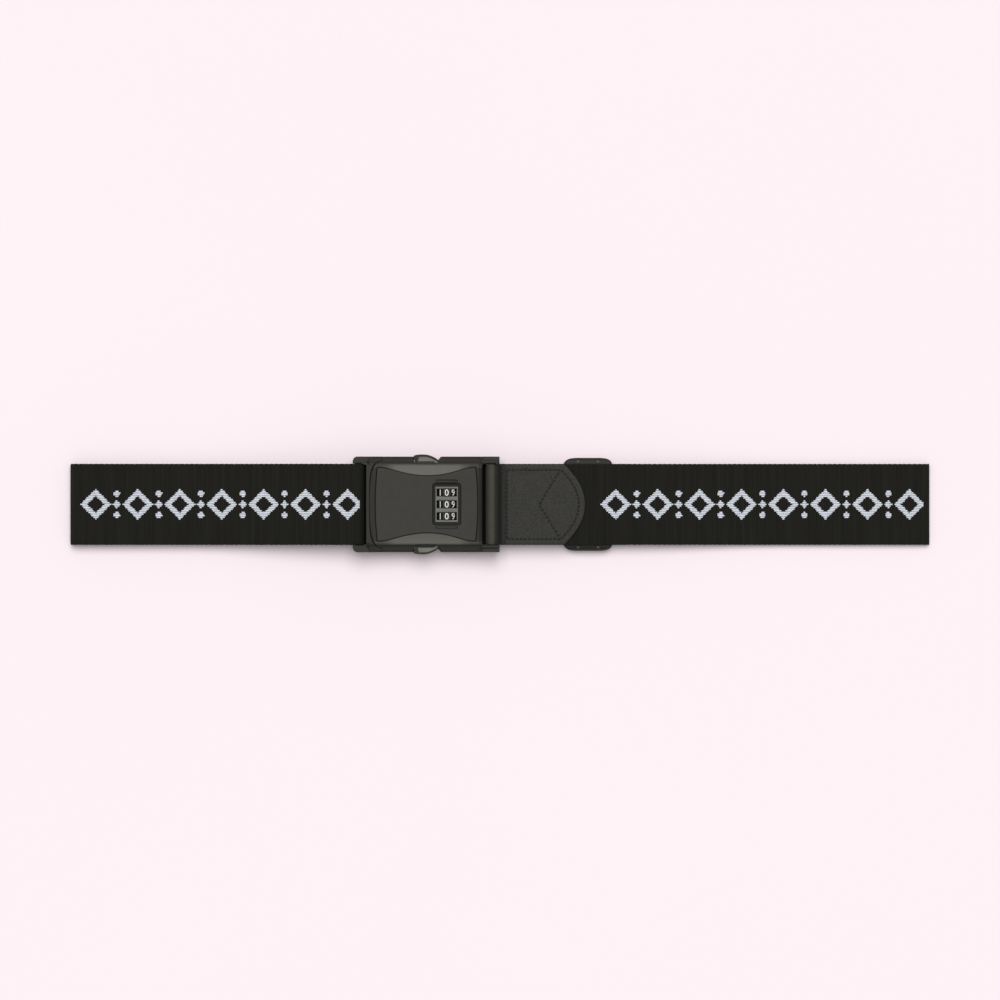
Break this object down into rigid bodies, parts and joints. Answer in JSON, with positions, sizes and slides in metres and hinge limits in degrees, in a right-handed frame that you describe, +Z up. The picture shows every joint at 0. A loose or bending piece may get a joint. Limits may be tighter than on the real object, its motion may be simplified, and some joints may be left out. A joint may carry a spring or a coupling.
{
  "type": "luggage strap",
  "caption": "Wide woven strap in a closed flat loop, with a side-release combination buckle, a stitched leather tab and a tri-glide.",
  "frame": {"origin": "centre of the footprint, on the surface the strap lies on", "axes": "+X along the strap towards the leather tab's side, +Y across the webbing, +Z up through the buckle's face"},
  "size_m": [0.532, 0.0612, 0.0207],
  "materials": {
    "webbing": "ribbed black polyester webbing",
    "leather": "fine-grained dark leather",
    "plastic": "matte dark grey moulded plastic",
    "bezel": "satin grey plastic",
    "dial": "black plastic with white digits",
    "brass": "turned",
    "steel": "plated"
  },
  "bodies": {
    "housing": {"housing_base": "plastic", "housing_top": "plastic", "face_panel": "plastic", "dial_bezel": "bezel", "dial_axle": "steel", "axle_bracket": "steel", "detent_spring": "steel", "lock_spring": "steel", "reset_spring": "steel", "screw_mouth": "steel", "screw_rear": "steel", "screw_front": "steel", "leather_tab": "leather", "webbing_right": "webbing", "webbing_bottom_right": "webbing", "webbing_under": "webbing", "webbing_inner": "webbing"},
    "male": {"male_frame": "plastic", "webbing_left": "webbing"},
    "prong_rear": {"prong_rear": "plastic"},
    "prong_front": {"prong_front": "plastic"},
    "dial_1": {"dial_1": "dial", "code_sleeve_1": "brass"},
    "dial_2": {"dial_2": "dial", "code_sleeve_2": "brass"},
    "dial_3": {"dial_3": "dial", "code_sleeve_3": "brass"},
    "lock_slide": {"lock_slide": "steel"},
    "reset_pin": {"reset_pin": "steel"},
    "glide": {"tri_glide": "plastic", "webbing_sewn_end": "webbing", "webbing_in_glide": "webbing"}
  },
  "joints": [
    {"name": "male_release", "type": "slide", "parent": "housing", "child": "male", "axis": [-1, 0, 0], "range_m": [0, 0.046], "deforming": ["prong_rear", "prong_front"]},
    {"name": "prong_rear_squeeze", "type": "hinge", "parent": "male", "child": "prong_rear", "pos_m": [-0.0792, 0.024, 0.0117], "axis": [0, 0, -1], "range_deg": [0, 8], "stiffness_Nm_per_rad": 0.5},
    {"name": "prong_front_squeeze", "type": "hinge", "parent": "male", "child": "prong_front", "pos_m": [-0.0792, -0.024, 0.0117], "axis": [0, 0, 1], "range_deg": [0, 8], "stiffness_Nm_per_rad": 0.5},
    {"name": "dial_1_turn", "type": "hinge", "parent": "housing", "child": "dial_1", "pos_m": [-0.0328, 0.0073, 0.0139], "axis": [0, 1, 0], "continuous": true},
    {"name": "dial_2_turn", "type": "hinge", "parent": "housing", "child": "dial_2", "pos_m": [-0.0328, 0, 0.0139], "axis": [0, 1, 0], "continuous": true},
    {"name": "dial_3_turn", "type": "hinge", "parent": "housing", "child": "dial_3", "pos_m": [-0.0328, -0.0073, 0.0139], "axis": [0, 1, 0], "continuous": true},
    {"name": "lock_travel", "type": "slide", "parent": "housing", "child": "lock_slide", "axis": [-1, 0, 0], "range_m": [0, 0.003], "stiffness_N_per_m": 100, "deforming": ["lock_spring"]},
    {"name": "reset_press", "type": "slide", "parent": "housing", "child": "reset_pin", "axis": [0, 0, 1], "range_m": [0, 0.002], "stiffness_N_per_m": 200, "deforming": ["reset_spring"]},
    {"name": "glide_adjust", "type": "slide", "parent": "housing", "child": "glide", "axis": [1, 0, 0], "range_m": [-0.02, 0.03], "deforming": ["webbing_sewn_end", "webbing_in_glide", "webbing_under", "webbing_bottom_right"]}
  ]
}
